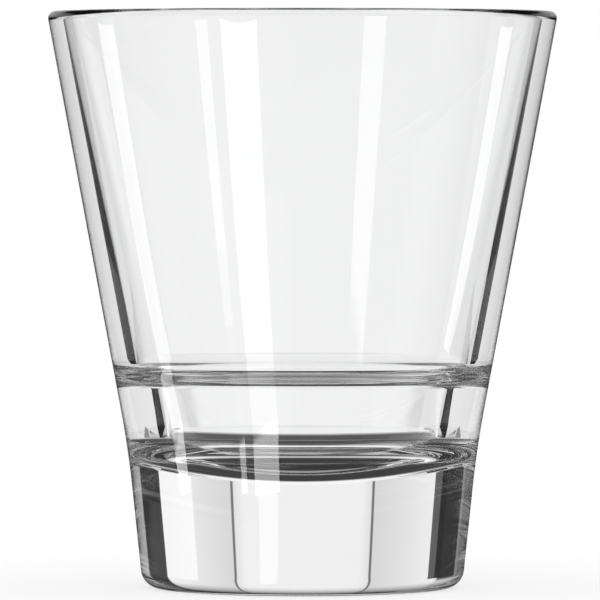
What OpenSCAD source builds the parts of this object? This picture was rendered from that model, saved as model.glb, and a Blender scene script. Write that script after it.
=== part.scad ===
// Stacking rocks glass: a heavy pressed tumbler with a tapered bowl, an inner ledge
// that carries the foot of the next glass, a narrow well and a thick solid base.
// Millimetres. Z is up, the origin is the centre of the face that it stands on.
// Everything is turned about Z. The real glass is one piece, drawn here as six named
// zones that meet face to face on level planes.

/* [Overall] */
// Height from the table to the top of the rim
glass_h = 97.5; // [88:0.5:120]
// Widest diameter, at the rim
rim_d = 86; // [78:0.5:104]

/* [Bowl] */
// Lean of the outer wall from upright, in degrees
bowl_lean = 10.5; // [8.5:0.25:11.5]
// Thickness of the wall at the foot of the bowl, measured level
bowl_wall_t = 4.2; // [3.4:0.1:5]
// Radius of the outer edge of the rim
rim_round_out = 1.2; // [0.8:0.1:2]
// Radius of the inner edge of the rim
rim_round_in = 1.4; // [0.8:0.1:1.8]

/* [Stacking ledge and well] */
// Height of the top of the ledge above the table
ledge_top_z = 38.6; // [32:0.2:47]
// How far the ledge steps in from the bowl to the well, measured level
ledge_step = 2.7; // [2.2:0.1:3.6]
// Radius of the two curves that make the ledge
ledge_round_r = 2.5; // [2.2:0.1:3.4]
// Radius of the corner between the wall and the floor of the well
well_corner_r = 5.7; // [4.5:0.1:6.5]
// Radius of the dished floor of the well
well_dish_r = 58; // [50:1:120]

/* [Base] */
// Thickness of solid glass under the middle of the well
base_t = 19; // [15:0.5:24]
// Height at which the wall steepens into the foot
knee_z = 23.5; // [20:0.5:28]
// Radius that blends the bowl into the foot
knee_r = 165; // [60:5:200]
// Lean of the foot from upright, in degrees
foot_lean = 6; // [4:0.25:7]
// Radius of the heel, between the foot and the underside
heel_r = 3.2; // [2:0.1:4.5]
// Width of the level ring that the glass stands on
rest_ring_w = 3.2; // [1.5:0.1:6]
// Rise of the hollow in the middle of the underside
punt_rise = 1.2; // [0.5:0.1:2]

/* [Hidden] */
glass_colour = [0.93, 0.95, 0.95, 0.45];
// Straight pieces in one rounded edge, and sides of the mesh about the axis
edge_steps = 12;
$fn = 180;

// Points along an arc from angle a0 to angle a1 about the centre c
function arc(c, r, a0, a1) =
    [for (i = [0:edge_steps]) let (t = a0 + (a1 - a0) * i / edge_steps) c + r * [cos(t), sin(t)]];

// Rim: both edges are round and meet at the top of the wall
rim_mid_r = rim_d / 2 - rim_round_out;
rim_out_c = [rim_mid_r, glass_h - rim_round_out];
rim_in_c = [rim_mid_r, glass_h - rim_round_in];
rim_z = rim_out_c.y - rim_round_out * sin(bowl_lean);
rim_out_r = rim_out_c.x + rim_round_out * cos(bowl_lean);

// Outside: the bowl and the foot are two cones, blended at the knee
function bowl_out_r(z) = rim_out_r - tan(bowl_lean) * (rim_z - z);
knee_out_r = bowl_out_r(knee_z);
function foot_out_r(z) = knee_out_r - tan(foot_lean) * (knee_z - z);
knee_reach = knee_r * tan((bowl_lean - foot_lean) / 2);
knee_top_z = knee_z + knee_reach * cos(bowl_lean);
knee_low_z = knee_z - knee_reach * cos(foot_lean);
knee_c = [bowl_out_r(knee_top_z) + knee_r * cos(bowl_lean), knee_top_z - knee_r * sin(bowl_lean)];
function knee_blend_r(z) = knee_c.x - sqrt(pow(knee_r, 2) - pow(z - knee_c.y, 2));
function out_r(z) = z >= knee_top_z ? bowl_out_r(z) : z <= knee_low_z ? foot_out_r(z) : knee_blend_r(z);
function out_at(z) = [out_r(z), z];

// Outline of the outside from height z0 up to z1, with the blend's own points between them
function outside(z0, z1) =
    let (bend = [for (i = [0:edge_steps]) knee_low_z + (knee_top_z - knee_low_z) * i / edge_steps])
    concat([out_at(z0)], [for (z = bend) if (z > z0 && z < z1) out_at(z)], [out_at(z1)]);

// Inside of the bowl: the line from the top of the ledge that touches the rim's inner edge
ledge_top = [bowl_out_r(ledge_top_z) - bowl_wall_t, ledge_top_z];
to_rim = rim_in_c - ledge_top;
in_lean = atan2(to_rim.x, to_rim.y) - asin(rim_round_in / norm(to_rim));
function bowl_in_at(z) = [ledge_top.x + tan(in_lean) * (z - ledge_top_z), z];

// Ledge: one hollow and one full curve of the same radius, between two parallel walls
ledge_turn = acos(1 - ledge_step * cos(in_lean) / (2 * ledge_round_r));
ledge_up_c = ledge_top + ledge_round_r * [-cos(in_lean), sin(in_lean)];
ledge_low_c = ledge_up_c + 2 * ledge_round_r * [cos(in_lean + ledge_turn), -sin(in_lean + ledge_turn)];
ledge_low = ledge_low_c + ledge_round_r * [-cos(in_lean), sin(in_lean)];
function well_in_at(z) = [ledge_low.x + tan(in_lean) * (z - ledge_low.y), z];

// Floor of the well: a shallow dish about the axis, and a corner that touches dish and wall
dish_c = [0, base_t + well_dish_r];
corner_line = ledge_low + well_corner_r * [-cos(in_lean), sin(in_lean)] - dish_c;
up_wall = [sin(in_lean), cos(in_lean)];
corner_along = -corner_line * up_wall
    - sqrt(pow(corner_line * up_wall, 2) - corner_line * corner_line + pow(well_dish_r - well_corner_r, 2));
corner_c = dish_c + corner_line + corner_along * up_wall;
well_floor_z = corner_c.y - well_corner_r * sin(in_lean);
dish_edge_a = atan2(corner_c.y - dish_c.y, corner_c.x - dish_c.x);

// Foot: heel, standing ring and the hollow under the middle
heel_c = [foot_out_r(heel_r) - heel_r / cos(foot_lean), heel_r];
foot_h = heel_r * (1 - sin(foot_lean));
punt_r = heel_c.x - rest_ring_w;
punt_ball_r = (pow(punt_r, 2) + pow(punt_rise, 2)) / (2 * punt_rise);
punt_c = [0, punt_rise - punt_ball_r];

// Turns an outline about Z in the colour of clear glass
module turned(outline) {
    color(glass_colour) rotate_extrude() polygon(outline);
}

// Fire-polished lip
module rim() {
    turned(concat(
        arc(rim_out_c, rim_round_out, -bowl_lean, 90),
        arc(rim_in_c, rim_round_in, 90, 180 - in_lean),
        [bowl_in_at(rim_z)]));
}

// Tapered side, from the ledge up to the lip
module bowl_wall() {
    turned([
        out_at(ledge_top_z),
        out_at(rim_z),
        bowl_in_at(rim_z),
        ledge_top]);
}

// Rounded step inside, where the foot of the next glass comes to rest
module stacking_ledge() {
    turned(concat(
        outside(ledge_low.y, ledge_top_z),
        arc(ledge_up_c, ledge_round_r, -in_lean, -in_lean - ledge_turn),
        arc(ledge_low_c, ledge_round_r, 180 - in_lean - ledge_turn, 180 - in_lean)));
}

// Thick wall round the narrow well below the ledge
module well_wall() {
    turned(concat(
        outside(well_floor_z, ledge_low.y),
        [ledge_low, well_in_at(well_floor_z)]));
}

// Solid glass under the well, with the dished floor in its top
module solid_base() {
    turned(concat(
        outside(foot_h, well_floor_z),
        arc(corner_c, well_corner_r, -in_lean, dish_edge_a),
        arc(dish_c, well_dish_r, dish_edge_a, -90),
        [[0, foot_h]]));
}

// Heel, standing ring and hollow underside
module foot() {
    turned(concat(
        [[0, foot_h]],
        arc(punt_c, punt_ball_r, 90, atan2(-punt_c.y, punt_r)),
        arc(heel_c, heel_r, -90, -foot_lean)));
}

rim();
bowl_wall();
stacking_ledge();
well_wall();
solid_base();
foot();
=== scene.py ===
"""A stacking rocks glass of clear pressed glass, on a pale floor in a bright studio.

The whole glass is one turned surface: an outline of lines and arcs in the plane of radius and
height, carried round the Z axis, with the faint ripple of pressed glass laid over it.
Lengths are in metres and angles in degrees. Z is up and the glass stands on the origin.
"""

import logging
import math
from dataclasses import dataclass, field
from enum import Enum
from typing import Any

import bpy
import numpy as np
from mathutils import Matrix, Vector


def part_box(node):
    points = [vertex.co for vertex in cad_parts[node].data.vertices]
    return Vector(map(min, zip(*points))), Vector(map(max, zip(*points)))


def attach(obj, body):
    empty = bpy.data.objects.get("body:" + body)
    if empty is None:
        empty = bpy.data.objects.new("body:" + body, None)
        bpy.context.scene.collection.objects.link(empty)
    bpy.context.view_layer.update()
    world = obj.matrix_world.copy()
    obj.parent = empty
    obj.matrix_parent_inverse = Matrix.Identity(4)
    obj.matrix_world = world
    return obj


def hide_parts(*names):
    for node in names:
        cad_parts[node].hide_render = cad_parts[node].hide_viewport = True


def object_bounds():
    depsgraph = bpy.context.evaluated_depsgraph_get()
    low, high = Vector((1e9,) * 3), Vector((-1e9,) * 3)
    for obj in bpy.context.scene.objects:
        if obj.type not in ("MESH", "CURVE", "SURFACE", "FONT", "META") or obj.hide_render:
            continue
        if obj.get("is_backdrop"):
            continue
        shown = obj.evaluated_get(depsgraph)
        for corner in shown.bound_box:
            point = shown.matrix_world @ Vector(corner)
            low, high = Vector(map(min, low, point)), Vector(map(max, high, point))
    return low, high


LOG = logging.getLogger("rocks_glass")
MM = 0.001
TO_DEGREES = 180.0 / math.pi
PHOTO_SIDE_PX = 600.0
BOUNCES = 32
WHITE = (1.0, 1.0, 1.0, 1.0)

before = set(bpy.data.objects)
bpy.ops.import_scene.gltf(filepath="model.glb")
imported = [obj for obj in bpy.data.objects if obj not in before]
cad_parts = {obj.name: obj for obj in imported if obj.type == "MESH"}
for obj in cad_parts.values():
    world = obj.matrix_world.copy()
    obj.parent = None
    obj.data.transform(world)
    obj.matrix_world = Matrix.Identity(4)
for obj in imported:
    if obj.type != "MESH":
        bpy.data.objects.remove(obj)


class Zone(Enum):
    """The solid zones of the glass that the turned surface stands for."""

    RIM = "rim"
    BOWL = "bowl_wall"
    LEDGE = "stacking_ledge"
    WELL = "well_wall"
    BASE = "solid_base"
    FOOT = "foot"


# Shader maths


class Wire:
    """An output socket that Python's operators turn into Math nodes."""

    def __init__(self, graph: "Graph", socket: bpy.types.NodeSocket) -> None:
        """Keeps the graph that new nodes go into, and the socket."""
        self.graph = graph
        self.socket = socket

    def math(self, operation: str, *others: Any) -> "Wire":
        """Adds one Math node with this value first and the others after it."""
        return self.graph.node("ShaderNodeMath", {"operation": operation}, {}, [self, *others])

    def __add__(self, other: Any) -> "Wire":
        """This value plus another."""
        return self.math("ADD", other)

    def __radd__(self, other: Any) -> "Wire":
        """Another value plus this one."""
        return self.math("ADD", other)

    def __sub__(self, other: Any) -> "Wire":
        """This value minus another."""
        return self.math("SUBTRACT", other)

    def __rsub__(self, other: Any) -> "Wire":
        """Another value minus this one."""
        return self.graph.node("ShaderNodeMath", {"operation": "SUBTRACT"}, {}, [other, self])

    def __mul__(self, other: Any) -> "Wire":
        """This value times another."""
        return self.math("MULTIPLY", other)

    def __abs__(self) -> "Wire":
        """This value without its sign."""
        return self.math("ABSOLUTE")

    def rise(self, start: float, end: float) -> "Wire":
        """0 up to start, 1 from end on, and a smooth step between them."""
        settings = {"interpolation_type": "SMOOTHSTEP"}
        sockets = {"Value": self, "From Min": start, "From Max": end}
        return self.graph.node("ShaderNodeMapRange", settings, sockets, output="Result")

    def ramp(self, start: float, end: float, low: float, high: float) -> "Wire":
        """Goes evenly from low at start to high at end, and stays level outside them."""
        sockets = {"Value": self, "From Min": start, "From Max": end, "To Min": low, "To Max": high}
        return self.graph.node("ShaderNodeMapRange", {}, sockets, output="Result")

    def above(self, edge: Any, soft: float) -> "Wire":
        """1 above an edge, 0 below it, and a smooth step from soft under it to soft over it."""
        return (self - edge).rise(-soft, soft)

    def below(self, edge: Any, soft: float) -> "Wire":
        """1 below an edge, 0 above it, and a smooth step from soft under it to soft over it."""
        return (edge - self).rise(-soft, soft)

    def between(self, low: Any, high: Any, soft: float) -> "Wire":
        """1 between low and high, and 0 outside them."""
        return self.above(low, soft) * self.below(high, soft)

    def length(self) -> "Wire":
        """The length of this vector."""
        return self.graph.node("ShaderNodeVectorMath", {"operation": "LENGTH"}, {}, [self], output="Value")

    def axes(self) -> list["Wire"]:
        """The X, Y and Z of this vector."""
        outputs = self.graph.node("ShaderNodeSeparateXYZ", {}, {"Vector": self}).socket.node.outputs
        return [Wire(self.graph, outputs[axis]) for axis in ("X", "Y", "Z")]


class Graph:
    """A node tree that is written from Python."""

    def __init__(self, tree: bpy.types.NodeTree) -> None:
        """Empties the tree."""
        self.tree = tree
        tree.nodes.clear()

    def node(
        self,
        kind: str,
        settings: dict[str, Any] | None = None,
        sockets: dict[str, Any] | None = None,
        inputs: list[Any] | None = None,
        output: str | int = 0,
    ) -> Wire:
        """Adds one node.

        Args:
            kind: the node's type.
            settings: its own properties, which are set first.
            sockets: values or links of its inputs, by name.
            inputs: values or links of its inputs, in order.
            output: name or number of the output that is returned.

        Returns:
            The chosen output.
        """
        made = self.tree.nodes.new(kind)
        for name, value in (settings or {}).items():
            setattr(made, name, value)
        wanted = list((sockets or {}).items()) + list(enumerate(inputs or []))
        for key, value in wanted:
            if isinstance(value, Wire):
                self.tree.links.new(value.socket, made.inputs[key])
            else:
                made.inputs[key].default_value = value
        out = made.outputs[output] if len(made.outputs) else None
        return Wire(self, out)


# Meshes


def line(start: np.ndarray, end: np.ndarray, count: int) -> np.ndarray:
    """Points on a straight stretch of the outline, without its last one.

    Args:
        start: radius and height of its first point.
        end: radius and height of its last point.
        count: how many steps it is cut into.

    Returns:
        An array of radius and height: start + t (end - start), where t is (1 - cos a) / 2 and a goes
        from 0 to just under half a turn, so that the points lie closer together at both ends.
    """
    t = (1 - np.cos(np.pi * np.arange(count)[:, None] / count)) / 2
    return start + t * (end - start)


def arc(centre: np.ndarray, radius: float, first: float, last: float, count: int) -> np.ndarray:
    """Points on a round stretch of the outline, without its last one.

    Args:
        centre: radius and height of its centre.
        radius: its radius.
        first: angle of its first point, from level and outwards, in degrees.
        last: angle of its last point.
        count: how many steps it is cut into.

    Returns:
        An array of radius and height: centre + radius (cos a, sin a), with a from first to last.
    """
    angle = np.radians(first + (last - first) * np.arange(count) / count)
    return centre + radius * np.stack([np.cos(angle), np.sin(angle)], axis=1)


def new_mesh(name: str, points: np.ndarray, faces: list[np.ndarray]) -> bpy.types.Object:
    """Makes a smooth mesh object at the origin.

    Args:
        name: the piece's name.
        points: one row of x, y and z for each vertex.
        faces: arrays of vertex numbers, one row a face, each array with its own count of corners.

    Returns:
        The new object, linked to the scene.
    """
    mesh = bpy.data.meshes.new(name)
    corners = np.concatenate([block.ravel() for block in faces])
    sizes = np.concatenate([np.full(len(block), block.shape[1]) for block in faces])
    mesh.vertices.add(len(points))
    mesh.vertices.foreach_set("co", points.astype(np.float32).ravel())
    mesh.loops.add(len(corners))
    mesh.loops.foreach_set("vertex_index", corners.astype(np.int32))
    mesh.polygons.add(len(sizes))
    mesh.polygons.foreach_set("loop_start", (np.cumsum(sizes) - sizes).astype(np.int32))
    mesh.polygons.foreach_set("use_smooth", np.ones(len(sizes), dtype=bool))
    mesh.update(calc_edges=True)
    mesh.validate()
    piece = bpy.data.objects.new(name, mesh)
    bpy.context.scene.collection.objects.link(piece)
    return piece


# Finishes


@dataclass(frozen=True)
class ClearGlass:
    """Clear soda-lime glass, fire-polished, with a faint orange-peel skin."""

    name: str = "clear_glass"
    colour: tuple[float, float, float, float] = (0.995, 0.998, 0.997, 1.0)
    ior: float = 1.52
    least_roughness: float = 0.0
    most_roughness: float = 0.012
    skin_scale: float = 260.0
    skin_detail: float = 2.0
    skin_low: float = 0.35
    skin_high: float = 0.7
    skin_strength: float = 0.015
    skin_depth: float = 0.02 * MM

    def make(self) -> bpy.types.Material:
        """Builds the material.

        Returns:
            A Principled glass whose roughness and bump come from fine noise on Object coordinates.
        """
        material = bpy.data.materials.new(self.name)
        material.use_nodes = True
        graph = Graph(material.node_tree)
        place = graph.node("ShaderNodeTexCoord", output="Object")
        noise = {"Vector": place, "Scale": self.skin_scale, "Detail": self.skin_detail}
        skin = graph.node("ShaderNodeTexNoise", {}, noise, output="Fac")
        roughness = skin.ramp(self.skin_low, self.skin_high, self.least_roughness, self.most_roughness)
        relief = {"Height": skin, "Strength": self.skin_strength, "Distance": self.skin_depth}
        bump = graph.node("ShaderNodeBump", {}, relief, output="Normal")
        body = {
            "Base Color": self.colour,
            "Roughness": roughness,
            "IOR": self.ior,
            "Transmission Weight": 1.0,
            "Normal": bump,
        }
        shader = graph.node("ShaderNodeBsdfPrincipled", {}, body, output="BSDF")
        graph.node("ShaderNodeOutputMaterial", {}, {"Surface": shader})
        return material


@dataclass(frozen=True)
class PaleFloor:
    """Matt white floor. What it gives back and what it gives out add up to white."""

    name: str = "pale_floor"
    colour: tuple[float, float, float, float] = (0.3, 0.3, 0.3, 1.0)
    glow: float = 0.72

    def make(self) -> bpy.types.Material:
        """Builds the material: a matt shader and a faint glow, added."""
        material = bpy.data.materials.new(self.name)
        material.use_nodes = True
        graph = Graph(material.node_tree)
        matt = graph.node("ShaderNodeBsdfDiffuse", {}, {"Color": self.colour})
        glow = graph.node("ShaderNodeEmission", {}, {"Color": WHITE, "Strength": self.glow})
        both = graph.node("ShaderNodeAddShader", {}, {}, [matt, glow])
        graph.node("ShaderNodeOutputMaterial", {}, {"Surface": both})
        return material


# The glass


@dataclass(frozen=True)
class Steps:
    """How many steps each stretch of the outline is cut into."""

    punt: int = 14
    ring: int = 4
    heel: int = 24
    foot: int = 26
    knee: int = 16
    bowl: int = 42
    outer_lip: int = 22
    inner_lip: int = 12
    ledge: int = 18
    well: int = 16
    corner: int = 20
    dish: int = 24


@dataclass
class RocksGlass:
    """The whole glass as one turned surface.

    The height and the widest radius come from the frame. The other sizes are those of the solid
    zones, which meet along this same outline.
    """

    height: float
    rim_radius: float
    bowl_lean: float = 10.5
    bowl_wall: float = 4.2 * MM
    rim_round_out: float = 1.2 * MM
    rim_round_in: float = 1.4 * MM
    ledge_top: float = 38.6 * MM
    ledge_step: float = 2.7 * MM
    ledge_round: float = 2.5 * MM
    well_corner: float = 5.7 * MM
    well_dish: float = 58.0 * MM
    base_thickness: float = 19.0 * MM
    knee_height: float = 23.5 * MM
    knee_blend: float = 165.0 * MM
    foot_lean: float = 6.0
    heel: float = 3.2 * MM
    rest_ring: float = 3.2 * MM
    punt_rise: float = 1.2 * MM
    around: int = 320
    steps: Steps = field(default_factory=Steps)
    ripple_depth: float = 0.0015 * MM
    ripple_waves: tuple[int, ...] = (3, 5, 8, 13, 21, 34)
    ripple_seed: int = 7
    finish: ClearGlass = field(default_factory=ClearGlass)

    def outside(self) -> list[np.ndarray]:
        """Works out the outline of the underside and the outside, from the axis up to the rim.

        Returns:
            Stretches in order: hollow underside, standing ring, heel, foot, knee, bowl and outer lip.
        """
        lean, foot_lean = np.radians([self.bowl_lean, self.foot_lean])
        lip = np.array([self.rim_radius - self.rim_round_out, self.height - self.rim_round_out])
        bowl_top = lip + self.rim_round_out * np.array([np.cos(lean), -np.sin(lean)])
        knee = np.array([bowl_top[0] - np.tan(lean) * (bowl_top[1] - self.knee_height), self.knee_height])
        reach = self.knee_blend * np.tan((lean - foot_lean) / 2)
        knee_top = knee + reach * np.array([np.sin(lean), np.cos(lean)])
        knee_low = knee - reach * np.array([np.sin(foot_lean), np.cos(foot_lean)])
        knee_centre = knee_top + self.knee_blend * np.array([np.cos(lean), -np.sin(lean)])
        foot_at_heel = knee[0] - np.tan(foot_lean) * (self.knee_height - self.heel)
        heel = np.array([foot_at_heel - self.heel / np.cos(foot_lean), self.heel])
        heel_top = heel + self.heel * np.array([np.cos(foot_lean), -np.sin(foot_lean)])
        punt_edge = np.array([heel[0] - self.rest_ring, 0.0])
        ball = (punt_edge[0] ** 2 + self.punt_rise ** 2) / (2 * self.punt_rise)
        punt = np.array([0.0, self.punt_rise - ball])
        punt_end = np.degrees(np.arctan2(-punt[1], punt_edge[0]))
        steps = self.steps
        return [
            arc(punt, ball, 90.0, punt_end, steps.punt),
            line(punt_edge, np.array([heel[0], 0.0]), steps.ring),
            arc(heel, self.heel, -90.0, -self.foot_lean, steps.heel),
            line(heel_top, knee_low, steps.foot),
            arc(knee_centre, self.knee_blend, 180.0 - self.foot_lean, 180.0 - self.bowl_lean, steps.knee),
            line(knee_top, bowl_top, steps.bowl),
            arc(lip, self.rim_round_out, -self.bowl_lean, 90.0, steps.outer_lip),
        ]

    def inside(self) -> list[np.ndarray]:
        """Works out the outline of the inside, from the rim down to the axis.

        Returns:
            Stretches in order: inner lip, bowl, ledge in two curves, well, its corner and its floor.
        """
        lean = np.radians(self.bowl_lean)
        lip_radius = self.rim_radius - self.rim_round_out
        lip = np.array([lip_radius, self.height - self.rim_round_in])
        rim_low = self.height - self.rim_round_out * (1 + np.sin(lean))
        rim_out = lip_radius + self.rim_round_out * np.cos(lean)
        ledge_out = rim_out - np.tan(lean) * (rim_low - self.ledge_top)
        ledge = np.array([ledge_out - self.bowl_wall, self.ledge_top])
        to_lip = lip - ledge
        tilt = np.arctan2(to_lip[0], to_lip[1]) - np.arcsin(self.rim_round_in / np.hypot(*to_lip))
        inward = np.array([-np.cos(tilt), np.sin(tilt)])
        up_wall = np.array([np.sin(tilt), np.cos(tilt)])
        turn = np.arccos(1 - self.ledge_step * np.cos(tilt) / (2 * self.ledge_round))
        hollow = ledge + self.ledge_round * inward
        across = np.array([np.cos(tilt + turn), -np.sin(tilt + turn)])
        full = hollow + 2 * self.ledge_round * across
        well_top = full + self.ledge_round * inward
        dish = np.array([0.0, self.base_thickness + self.well_dish])
        from_dish = well_top + self.well_corner * inward - dish
        along = from_dish @ up_wall
        spare = along ** 2 - from_dish @ from_dish + (self.well_dish - self.well_corner) ** 2
        corner = dish + from_dish - (along + np.sqrt(spare)) * up_wall
        dish_edge = np.degrees(np.arctan2(corner[1] - dish[1], corner[0] - dish[0]))
        lean_in, turn_in = np.degrees([tilt, turn])
        steps = self.steps
        return [
            arc(lip, self.rim_round_in, 90.0, 180.0 - lean_in, steps.inner_lip),
            line(lip + self.rim_round_in * inward, ledge, steps.bowl),
            arc(hollow, self.ledge_round, -lean_in, -lean_in - turn_in, steps.ledge),
            arc(full, self.ledge_round, 180.0 - lean_in - turn_in, 180.0 - lean_in, steps.ledge),
            line(well_top, corner - self.well_corner * inward, steps.well),
            arc(corner, self.well_corner, -lean_in, dish_edge, steps.corner),
            arc(dish, self.well_dish, dish_edge, -90.0, steps.dish),
            np.array([[0.0, self.base_thickness]]),
        ]

    def ripple(self, height: np.ndarray, angle: np.ndarray) -> np.ndarray:
        """Works out how far the pressed surface stands off its true form.

        Args:
            height: height along the outline, as a column.
            angle: angle round the axis, as a row.

        Returns:
            The sum of a few waves: depth over the root of m, times sin(m angle + k height + phase),
            where the count m of waves round the axis is whole, so that the surface closes on itself.
        """
        draw = np.random.default_rng(self.ripple_seed)
        total = np.zeros((len(height), angle.shape[1]))
        for round_waves in self.ripple_waves:
            pitch = draw.uniform(-1.0, 1.0) * round_waves / self.rim_radius
            phase = draw.uniform(0.0, 2 * np.pi)
            total += np.sin(round_waves * angle + pitch * height + phase) / np.sqrt(round_waves)
        return self.ripple_depth * total

    def build(self) -> bpy.types.Object:
        """Carries the outline round the axis.

        Returns:
            The glass: a closed surface whose point at step i, j is radius_i (cos a_j, sin a_j) and
            height_i, moved along the outline's normal by the ripple.
        """
        outline = np.concatenate(self.outside() + self.inside())
        slope = np.gradient(outline, axis=0)
        normal = np.stack([slope[:, 1], -slope[:, 0]], axis=1)
        normal /= np.hypot(normal[:, 0], normal[:, 1])[:, None]
        ring, low, high = outline[1:-1], outline[0], outline[-1]
        angle = np.arange(self.around)[None, :] * 2 * np.pi / self.around
        stand = self.ripple(ring[:, 1:], angle)
        radius = ring[:, :1] + stand * normal[1:-1, :1]
        height = ring[:, 1:] + stand * normal[1:-1, 1:]
        grid = np.stack([radius * np.cos(angle), radius * np.sin(angle), height], axis=2)
        points = np.concatenate([grid.reshape(-1, 3), [[0.0, 0.0, low[1]], [0.0, 0.0, high[1]]]])
        number = np.arange(len(ring) * self.around).reshape(len(ring), self.around)
        beside = np.roll(number, -1, axis=1)
        quads = np.stack([number[:-1], beside[:-1], beside[1:], number[1:]], axis=2).reshape(-1, 4)
        under, over = len(points) - 2, len(points) - 1
        low_fan = np.stack([np.full(self.around, under), beside[0], number[0]], axis=1)
        high_fan = np.stack([np.full(self.around, over), number[-1], beside[-1]], axis=1)
        return new_mesh("glass", points, [quads, low_fan, high_fan])

    def dress(self, piece: bpy.types.Object) -> None:
        """Gives the glass its finish, hangs it on the root body and hides the solid zones that it stands
        for.
        """
        piece.data.materials.append(self.finish.make())
        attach(piece, "root")
        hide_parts(*[zone.value for zone in Zone])
        LOG.info("%s: %d faces", piece.name, len(piece.data.polygons))


# The studio


def new_disc(name: str, radius: float, height: float, steps: int) -> bpy.types.Object:
    """Makes a level disc about the Z axis.

    Args:
        name: the piece's name.
        radius: its radius.
        height: its height.
        steps: how many sides its edge has.

    Returns:
        The disc: points radius (cos a, sin a) round the edge, and one at the middle.
    """
    angle = np.arange(steps) * 2 * np.pi / steps
    edge = np.stack([radius * np.cos(angle), radius * np.sin(angle), np.full(steps, height)], axis=1)
    points = np.concatenate([edge, [[0.0, 0.0, height]]])
    number = np.arange(steps)
    faces = np.stack([np.full(steps, steps), number, np.roll(number, -1)], axis=1)
    return new_mesh(name, points, [faces])


@dataclass
class Floor:
    """The pale floor: a flat disc that the camera and soft light see, and the glass does not."""

    radius: float = 3.0
    steps: int = 96
    finish: PaleFloor = field(default_factory=PaleFloor)

    def build(self) -> None:
        """Makes the floor."""
        piece = new_disc("floor", self.radius, 0.0, self.steps)
        piece.data.materials.append(self.finish.make())
        piece.visible_glossy = False
        piece.visible_transmission = False
        piece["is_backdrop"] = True
        LOG.info("%s: radius %.1f m", piece.name, self.radius)


def glow_graph(piece: bpy.types.Object) -> Graph:
    """Gives a piece a new material, and returns its empty graph."""
    material = bpy.data.materials.new(piece.name)
    material.use_nodes = True
    piece.data.materials.append(material)
    return Graph(material.node_tree)


def glow_place(piece: bpy.types.Object) -> Wire:
    """Gives a piece a new material, and returns the Object coordinates in its graph."""
    return glow_graph(piece).node("ShaderNodeTexCoord", output="Object")


def glow_by(graph: Graph, level: Wire | float, one_sided: bool = False) -> None:
    """Ends a graph with a grey glow.

    Args:
        graph: the graph of a piece's material.
        level: how bright the piece is.
        one_sided: whether light passes through the back of its faces.
    """
    colour: Any = (level, level, level, 1.0)
    if isinstance(level, Wire):
        colour = graph.node("ShaderNodeCombineColor", {}, {"Red": level, "Green": level, "Blue": level})
    glow = graph.node("ShaderNodeEmission", {}, {"Color": colour, "Strength": 1.0})
    if one_sided:
        back = graph.node("ShaderNodeNewGeometry", output="Backfacing")
        clear = graph.node("ShaderNodeBsdfTransparent")
        glow = graph.node("ShaderNodeMixShader", {}, {}, [back, glow, clear])
    graph.node("ShaderNodeOutputMaterial", {}, {"Surface": glow})


class Rays(Enum):
    """The two kinds of ray that carry the studio to the camera, by how they last left the glass."""

    GLOSS = "thrown back by the surface"
    GLASS = "let through by the glass"


def show_to(piece: bpy.types.Object, rays: Rays) -> None:
    """Stages a piece that only one kind of ray meets."""
    piece.visible_camera = False
    piece.visible_diffuse = False
    piece.visible_shadow = False
    piece.visible_glossy = rays is Rays.GLOSS
    piece.visible_transmission = rays is Rays.GLASS
    piece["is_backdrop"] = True


@dataclass
class PaintedTableShadow:
    """Painted shadow of the glass on the table close round it, on a glowing disc which only the glass sees.

    It is dark at the foot of the glass and lighter outwards, with a painted bright ring under the base,
    brighter at the back, for light that creeps in under the foot.
    """

    radius: float = 62.0 * MM
    dark_radius: float = 48.0 * MM
    dark_level: float = 0.05
    edge_level: float = 0.9
    ring_in: float = 22.0 * MM
    ring_out: float = 26.0 * MM
    ring_soft: float = 1.5 * MM
    ring_shift: float = 2.5 * MM
    ring_front: float = 0.5
    ring_back: float = 1.3
    height: float = -0.2 * MM
    steps: int = 96

    def level(self, reach: Wire, ring_reach: Wire, north: Wire) -> Wire:
        """Works out how bright the painted shadow is at a place on the table.

        Args:
            reach: distance of the place from the axis of the glass.
            ring_reach: its distance from the middle of the bright ring.
            north: how far back it lies, along Y.

        Returns:
            The level: painted shadow, dark under the glass, apart from a painted bright ring that is
                brighter at the back.
        """
        level = reach.ramp(self.dark_radius, self.radius, self.dark_level, self.edge_level)
        ring = ring_reach.between(self.ring_in, self.ring_out, self.ring_soft)
        ring_level = north.ramp(-self.ring_in, self.ring_in, self.ring_front, self.ring_back)
        return level + ring * (ring_level - level)

    def build(self) -> None:
        """Makes the disc, which glows by its level to paint the shadow."""
        piece = new_disc("painted_table_shadow", self.radius, self.height, self.steps)
        place = glow_place(piece)
        graph = place.graph
        ring_middle = (0.0, self.ring_shift, 0.0)
        settings = {"operation": "SUBTRACT"}
        from_middle = graph.node("ShaderNodeVectorMath", settings, {}, [place, ring_middle])
        glow_by(graph, self.level(place.length(), from_middle.length(), place.axes()[1]))
        show_to(piece, Rays.GLASS)
        LOG.info("%s: radius %.3f m", piece.name, self.radius)


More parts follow.
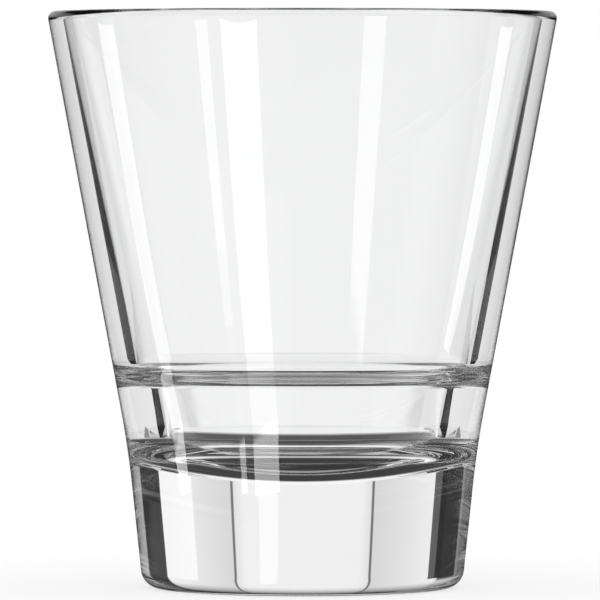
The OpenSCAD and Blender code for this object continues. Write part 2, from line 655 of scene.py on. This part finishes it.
@dataclass
class ShadeCollar:
    """A dark level ring round the foot of the glass, which only the glass sees, and only from above. It is
    painted shade: the dark edge of the glass's own shadow on the table.
    """

    inner: float = 30.5 * MM
    dark_radius: float = 39.5 * MM
    outer: float = 44.5 * MM
    height: float = 18.0 * MM
    dark_level: float = 0.1
    edge_level: float = 0.75
    steps: int = 96

    def level(self, reach: Wire) -> Wire:
        """Works out how bright the painted shade ring is at a distance from the axis."""
        return reach.ramp(self.dark_radius, self.outer, self.dark_level, self.edge_level)

    def build(self) -> None:
        """Makes the ring: points radius (cos a, sin a) on both edges, and faces that look up."""
        angle = np.arange(self.steps) * 2 * np.pi / self.steps
        round_axis = np.stack([np.cos(angle), np.sin(angle), np.zeros(self.steps)], axis=1)
        lift = np.array([0.0, 0.0, self.height])
        points = np.concatenate([round_axis * self.inner, round_axis * self.outer]) + lift
        number = np.arange(self.steps)
        beside = np.roll(number, -1)
        faces = np.stack([number, number + self.steps, beside + self.steps, beside], axis=1)
        piece = new_mesh("painted_shade_collar", points, [faces])
        place = glow_place(piece)
        graph = place.graph
        level_only = (1.0, 1.0, 0.0)
        flat = graph.node("ShaderNodeVectorMath", {"operation": "MULTIPLY"}, {}, [place, level_only])
        glow_by(graph, self.level(flat.length()), one_sided=True)
        show_to(piece, Rays.GLASS)
        LOG.info("%s: out to %.3f m", piece.name, self.outer)


@dataclass
class TableSides:
    """The pale table to both sides behind the glass, which only the glass sees.

    Each side is a strip that runs back from the glass, with a gap that leaves the dark room in view.
    Bearings are those of a place on the table, from straight behind.
    """

    near: float = 92.0 * MM
    far: float = 140.0 * MM
    front: float = 30.0 * MM
    back: float = 270.0 * MM
    height: float = -0.3 * MM
    gap_start: float = 57.5
    gap_end: float = 70.0
    back_level: float = 0.86
    front_level: float = 1.1

    def level(self, east: Wire, north: Wire) -> Wire:
        """Works out how bright a place on the table is."""
        bearing = abs(east).math("ARCTAN2", north) * TO_DEGREES
        return bearing.ramp(self.gap_start, self.gap_end, self.back_level, self.front_level)

    def build(self) -> None:
        """Makes four flat panels as one piece, two on each side of the glass, which glow by their level."""
        before_gap, past_gap = (
            [out / math.tan(math.radians(bearing)) for out in (self.near, self.far)]
            for bearing in (self.gap_end, self.gap_start)
        )
        panels = []
        for low, high in (([self.front, self.front], before_gap), (past_gap, [self.back, self.back])):
            corners = [(self.near, low[0]), (self.far, low[1]), (self.far, high[1]), (self.near, high[0])]
            right = np.array([(east, north, self.height) for east, north in corners])
            panels += [right, (right * [-1.0, 1.0, 1.0])[::-1]]
        points = np.concatenate(panels)
        piece = new_mesh("table_sides", points, [np.arange(len(points)).reshape(len(panels), 4)])
        place = glow_place(piece)
        east, north, _ = place.axes()
        glow_by(place.graph, self.level(east, north))
        show_to(piece, Rays.GLASS)
        LOG.info("%s: out to %.3f m", piece.name, self.far)


@dataclass
class SideCards:
    """Two dark cards to both sides behind the glass, far below the floor, which only the glass sees."""

    near: float = 605.0 * MM
    far: float = 800.0 * MM
    height: float = -150.0 * MM
    start: float = 47.5
    end: float = 57.5
    steps: int = 12
    level: float = 0.02

    def build(self) -> None:
        """Makes both cards: points radius (sin b, cos b) on their near and far edges, for bearings b."""
        bearing = np.radians(np.linspace(self.start, self.end, self.steps + 1))
        number = np.arange(self.steps)
        count = 2 * (self.steps + 1)
        points, faces = [], []
        for side, turn in enumerate((1.0, -1.0)):
            ways = [turn * np.sin(bearing), np.cos(bearing), np.zeros(self.steps + 1)]
            round_axis = np.stack(ways, axis=1)
            points += [round_axis * self.near, round_axis * self.far]
            near, far = number + side * count, number + side * count + self.steps + 1
            faces.append(np.stack([near, far, far + 1, near + 1], axis=1))
        lift = np.array([0.0, 0.0, self.height])
        piece = new_mesh("side_cards", np.concatenate(points) + lift, faces)
        glow_by(glow_graph(piece), self.level)
        show_to(piece, Rays.GLASS)
        LOG.info("%s: %.0f to %.0f degrees", piece.name, self.start, self.end)


@dataclass(frozen=True)
class Strip:
    """A bright strip on the table, between two straight edges that run out from beside the glass.

    An edge is a bearing and how far to its left the middle of the glass lies. The far end is straight
    too, square to the bearing end and end_reach away from the middle of the glass. The levels hold
    outwards from each of the reaches.
    """

    west: float
    west_offset: float
    east: float
    east_offset: float
    end: float
    end_reach: float
    reaches: tuple[float, ...]
    levels: tuple[float, ...]

    def lay(self, under: Wire | float, east: Wire, north: Wire, reach: Wire, soft: float) -> Wire:
        """Lays the strip over what is there.

        Args:
            under: level without the strip.
            east: place on the table, along X.
            north: place on the table, along Y.
            reach: distance of the place from the axis of the glass.
            soft: how wide its edges are.

        Returns:
            The level with the strip.
        """
        first, last, end = (math.radians(bearing) for bearing in (self.west, self.east, self.end))
        from_west = east * math.cos(first) - north * math.sin(first)
        from_east = east * math.cos(last) - north * math.sin(last)
        along = east * math.sin(end) + north * math.cos(end)
        cover = from_west.above(-self.west_offset, soft) * from_east.below(-self.east_offset, soft)
        cover = cover * along.below(self.end_reach, soft)
        level: Wire | float = 0.0
        for start, stretch in zip(self.reaches, self.levels):
            level = level + reach.above(start, soft) * (stretch - level)
        return under + cover * level


@dataclass
class TableStrips:
    """The dark table with its bright strips, which only the gloss of the glass shows."""

    radius: float = 600.0 * MM
    height: float = -0.4 * MM
    steps: int = 96
    room: float = 0.03
    soft: float = 0.4 * MM
    strips: tuple[Strip, ...] = (
        # To the left, far from the glass
        Strip(
            west=-79.7,
            west_offset=55.9 * MM,
            east=-69.2,
            east_offset=60.4 * MM,
            end=-114.3,
            end_reach=389.6 * MM,
            reaches=(155.0 * MM,),
            levels=(2.2,),
        ),
        # To the left, close to the glass
        Strip(
            west=-80.6,
            west_offset=48.7 * MM,
            east=-68.8,
            east_offset=55.7 * MM,
            end=-114.3,
            end_reach=389.6 * MM,
            reaches=(107.0 * MM, 119.0 * MM, 144.0 * MM, 155.0 * MM),
            levels=(7.0, 3.4, 4.5, 0.0),
        ),
        # In front to the left, narrow
        Strip(
            west=-133.9,
            west_offset=23.5 * MM,
            east=-127.5,
            east_offset=28.6 * MM,
            end=-146.7,
            end_reach=320.8 * MM,
            reaches=(96.5 * MM, 102.5 * MM, 150.0 * MM, 190.0 * MM),
            levels=(6.0, 0.3, 1.4, 2.3),
        ),
        # In front to the left, wide
        Strip(
            west=-157.4,
            west_offset=15.8 * MM,
            east=-140.3,
            east_offset=20.6 * MM,
            end=-159.5,
            end_reach=307.3 * MM,
            reaches=(95.0 * MM, 101.5 * MM, 125.0 * MM),
            levels=(7.0, 1.7, 2.6),
        ),
        # In front to the left, close to the foot of the glass
        Strip(
            west=-163.9,
            west_offset=3.0 * MM,
            east=-150.5,
            east_offset=6.6 * MM,
            end=-159.5,
            end_reach=307.3 * MM,
            reaches=(30.0 * MM, 95.0 * MM),
            levels=(2.2, 0.0),
        ),
        # To the right
        Strip(
            west=63.5,
            west_offset=-71.6 * MM,
            east=72.9,
            east_offset=-61.3 * MM,
            end=109.9,
            end_reach=408.1 * MM,
            reaches=(170.0 * MM,),
            levels=(2.4,),
        ),
    )

    def level(self, east: Wire, north: Wire, reach: Wire) -> Wire:
        """Works out how bright a place on the table is."""
        level: Wire | float = self.room
        for strip in self.strips:
            level = strip.lay(level, east, north, reach, self.soft)
        return level

    def build(self) -> None:
        """Makes the disc, which glows by its level."""
        piece = new_disc("table_strips", self.radius, self.height, self.steps)
        place = glow_place(piece)
        east, north, _ = place.axes()
        glow_by(place.graph, self.level(east, north, place.length()))
        show_to(piece, Rays.GLOSS)
        LOG.info("%s: %d strips", piece.name, len(self.strips))


@dataclass(frozen=True)
class Card:
    """A lit or dark card round the glass.

    Its west and east edges are bearings. Its low and high edges are elevations, which drop by fall
    degrees for each degree of bearing away from the back.
    """

    west: float
    east: float
    low: float
    high: float
    level: float
    soft: float = 0.3
    fall: float = 0.0

    def lay(self, under: Wire | float, bearing: Wire, climb: Wire) -> Wire:
        """Lays the card over what is there.

        Args:
            under: level without the card.
            bearing: bearing of the ray.
            climb: elevation of the ray.

        Returns:
            The level with the card.
        """
        rise = climb + abs(bearing) * self.fall if self.fall else climb
        across = bearing.between(self.west, self.east, self.soft)
        cover = across * rise.between(self.low, self.high, self.soft)
        return under + cover * (self.level - under)


@dataclass(frozen=True)
class SoftLight:
    """The large light behind the glass.

    It has a bright middle, a dark seam on each side of that, and wings past the seams that brighten
    outwards. It fades towards its top.
    """

    reach: float = 46.0
    low: float = -7.2
    low_soft: float = 1.6
    fall: float = 0.2
    high: float = 42.0
    soft: float = 0.6
    foot_level: float = 1.04
    level: float = 0.945
    level_foot: float = -1.5
    level_head: float = 3.0
    wing_near: float = 0.74
    wing_far: float = 0.99
    wing_low: float = 0.88
    wing_start: float = 18.0
    wing_end: float = 42.0
    seam_low: float = 14.9
    seam_high: float = 16.9
    seam_foot: float = -6.0
    seam_head: float = 3.6
    seam_width: float = 0.7
    seam_soft: float = 0.12
    seam_level: float = 0.2
    seam_start: float = -2.0
    seam_full: float = 2.0
    seam_shade: float = 0.84
    seam_shade_width: float = 3.0
    fade_start: float = 18.0
    fade_end: float = 38.0
    fade_level: float = 0.3

    def lay(self, under: Wire, bearing: Wire, climb: Wire) -> Wire:
        """Lays the light over what is there.

        Args:
            under: level without the light.
            bearing: bearing of the ray.
            climb: elevation of the ray.

        Returns:
            The level with the light.
        """
        turn = abs(bearing)
        past = turn - climb.ramp(self.seam_foot, self.seam_head, self.seam_low, self.seam_high)
        middle = climb.ramp(self.level_foot, self.level_head, self.foot_level, self.level)
        middle = middle * past.ramp(-self.seam_shade_width, 0.0, 1.0, self.seam_shade)
        wing = turn.ramp(self.wing_start, self.wing_end, self.wing_near, self.wing_far)
        wing = climb.rise(self.seam_start, self.seam_full) * (wing - self.wing_low) + self.wing_low
        level = middle + past.rise(-self.seam_soft, self.seam_soft) * (wing - middle)
        seam = past.between(-self.seam_width / 2, self.seam_width / 2, self.seam_soft)
        seam = seam * climb.rise(self.seam_start, self.seam_full)
        level = level + seam * (self.seam_level - level)
        level = level * climb.ramp(self.fade_start, self.fade_end, 1.0, self.fade_level)
        foot = (climb + turn * self.fall).above(self.low, self.low_soft)
        cover = foot * bearing.between(-self.reach, self.reach, self.soft)
        cover = cover * climb.below(self.high, self.soft)
        return under + cover * (level - under)


@dataclass(frozen=True)
class Studio:
    """What the glass sees around it, by bearing and elevation.

    A bearing is 0 behind the glass, minus to the left and plus or minus 180 at the camera. Behind the
    glass is a large soft light. The room round it is dark, apart from cards and strip lights. Rays that
    the surface throws back see only the dark room and one soft card behind the glass.
    """

    gloss_room: float = 0.03
    glass_room: float = 0.04
    table: float = 0.05
    table_edge: float = -10.0
    table_soft: float = 1.0
    mirrored: Card = Card(west=-46.0, east=46.0, low=3.0, high=19.0, level=0.6, soft=3.0)
    under_light: tuple[Card, ...] = (
        # To the left at table height, and low behind to the left
        Card(west=-132.0, east=-58.0, low=-15.0, high=4.8, level=0.9, soft=1.0),
        Card(west=-80.0, east=-12.0, low=-50.0, high=-20.0, level=0.88, soft=2.5),
        # In front to the right, dimmer upwards
        Card(west=108.0, east=162.0, low=-20.4, high=-11.0, level=0.9, soft=1.0),
        Card(west=100.0, east=170.0, low=-11.0, high=-5.0, level=0.5, soft=2.5),
        # High to the left, dimmer upwards
        Card(west=-110.0, east=-40.0, low=15.0, high=28.0, level=0.72, soft=5.0),
        Card(west=-110.0, east=-40.0, low=28.0, high=38.0, level=0.5, soft=5.0),
        Card(west=-110.0, east=-40.0, low=38.0, high=52.0, level=0.3, soft=5.0),
        # High in front to the right
        Card(west=96.0, east=172.0, low=14.0, high=34.0, level=0.42, soft=6.0),
        # The table straight behind the glass
        Card(west=-30.0, east=30.0, low=-58.0, high=-5.0, level=1.0, soft=6.0),
    )
    soft_light: SoftLight = field(default_factory=SoftLight)
    over_light: tuple[Card, ...] = (
        # Dark at both ends of the light's foot, and grey beyond
        Card(west=32.6, east=42.3, low=-6.5, high=0.5, level=0.0, fall=0.2),
        Card(west=-44.6, east=-33.0, low=-6.5, high=0.5, level=0.0, fall=0.2),
        Card(west=42.3, east=78.0, low=-6.5, high=0.5, level=0.74, fall=0.2),
        Card(west=-78.0, east=-44.6, low=-6.5, high=0.5, level=0.62, fall=0.2),
        # A narrow dark band under the light on both sides
        Card(west=22.5, east=31.0, low=-13.6, high=-11.4, level=0.3),
        Card(west=-31.0, east=-22.5, low=-13.6, high=-11.4, level=0.3),
        # Dark edges of the light, and a bright patch inside the right one
        Card(west=45.9, east=47.5, low=-6.0, high=21.0, level=0.05),
        Card(west=-47.5, east=-39.6, low=-6.0, high=10.0, level=0.03),
        Card(west=-43.6, east=-39.6, low=0.0, high=10.0, level=0.13),
        Card(west=29.6, east=45.9, low=0.0, high=9.0, level=1.04),
        # To both sides, dimmer towards the camera
        Card(west=65.0, east=90.0, low=3.0, high=18.0, level=0.6, soft=1.0),
        Card(west=90.0, east=120.0, low=3.0, high=18.0, level=0.3, soft=1.0),
        Card(west=-66.5, east=-62.5, low=3.0, high=13.0, level=0.3, soft=0.5),
        Card(west=-120.0, east=-66.5, low=3.0, high=13.0, level=0.2, soft=1.0),
        # A strip light in front to the right
        Card(west=138.3, east=149.7, low=-26.2, high=-22.0, level=2.6),
    )

    def level(self, bearing: Wire, climb: Wire) -> Wire:
        """Works out how bright the studio is to rays that the glass lets through.

        Args:
            bearing: bearing of the ray.
            climb: elevation of the ray.

        Returns:
            The level: the room and the table, the cards under the light, the light and the cards on it.
        """
        low, high = self.table_edge - self.table_soft, self.table_edge + self.table_soft
        level = climb.ramp(low, high, self.table, self.glass_room)
        for layer in (*self.under_light, self.soft_light, *self.over_light):
            level = layer.lay(level, bearing, climb)
        return level

    def build(self) -> None:
        """Builds the world: white to the camera and to soft light, and the studio to gloss and glass."""
        world = bpy.data.worlds.new("studio")
        world.use_nodes = True
        bpy.context.scene.world = world
        graph = Graph(world.node_tree)
        east, north, up = graph.node("ShaderNodeTexCoord", output="Generated").axes()
        bearing = east.math("ARCTAN2", north) * TO_DEGREES
        climb = up.math("ARCSINE") * TO_DEGREES
        gloss = self.mirrored.lay(self.gloss_room, bearing, climb)
        glass = self.level(bearing, climb)

        ray = graph.node("ShaderNodeLightPath").socket.node.outputs
        through = Wire(graph, ray["Is Transmission Ray"])
        level = gloss + through * (glass - gloss)
        plain = Wire(graph, ray["Is Camera Ray"]).math("MAXIMUM", Wire(graph, ray["Is Diffuse Ray"]))
        level = level + plain * (1.0 - level)
        sky = graph.node("ShaderNodeBackground", {}, {"Color": WHITE, "Strength": level})
        graph.node("ShaderNodeOutputWorld", {}, {"Surface": sky})


@dataclass(frozen=True)
class PhotoCamera:
    """The camera, from where the glass lies in the photograph."""

    axis_px: float = 302.5
    rim_px: float = 11.5
    table_px: float = 587.4
    distance: float = 1.27
    eye_height: float = 0.080
    sensor_mm: float = 36.0
    clip_end: float = 20.0

    def build(self, height: float) -> None:
        """Places the camera so that the glass fills the frame as in the photograph.

        Args:
            height: height of the glass.
        """
        metres_per_px = height / (self.table_px - self.rim_px)
        middle = PHOTO_SIDE_PX / 2
        aim_px = Vector((middle - self.axis_px, 0.0, self.table_px - middle))
        aim = aim_px * metres_per_px
        data = bpy.data.cameras.new("camera")
        data.sensor_width = self.sensor_mm
        eye = Vector((aim.x, -self.distance, self.eye_height))
        reach = (aim - eye).length
        data.lens = self.sensor_mm * reach / (PHOTO_SIDE_PX * metres_per_px)
        data.clip_end = self.clip_end
        camera = bpy.data.objects.new("camera", data)
        camera.location = eye
        camera.rotation_euler = (aim - eye).to_track_quat("-Z", "Y").to_euler()
        bpy.context.scene.collection.objects.link(camera)
        bpy.context.scene.camera = camera


def main() -> None:
    """Builds the glass and its studio."""
    logging.basicConfig(level=logging.INFO)
    solid_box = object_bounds()
    scene = bpy.context.scene
    scene.view_settings.view_transform = "Standard"
    scene.cycles.max_bounces = BOUNCES
    scene.cycles.transmission_bounces = BOUNCES
    scene.cycles.glossy_bounces = BOUNCES

    PhotoCamera().build(solid_box[1].z)
    rim_radius = max(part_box(Zone.RIM.value)[1].x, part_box(Zone.RIM.value)[1].y)
    glass = RocksGlass(height=solid_box[1].z, rim_radius=rim_radius)
    glass.dress(glass.build())
    Floor().build()
    # Painted shadow of the glass on the table, with a painted bright ring, seen only by the glass
    PaintedTableShadow().build()
    TableSides().build()
    SideCards().build()
    TableStrips().build()
    # Painted shade: a dark ring round the foot, for the edge of the glass's shadow
    ShadeCollar().build()
    Studio().build()


if __name__ == "__main__":
    main()
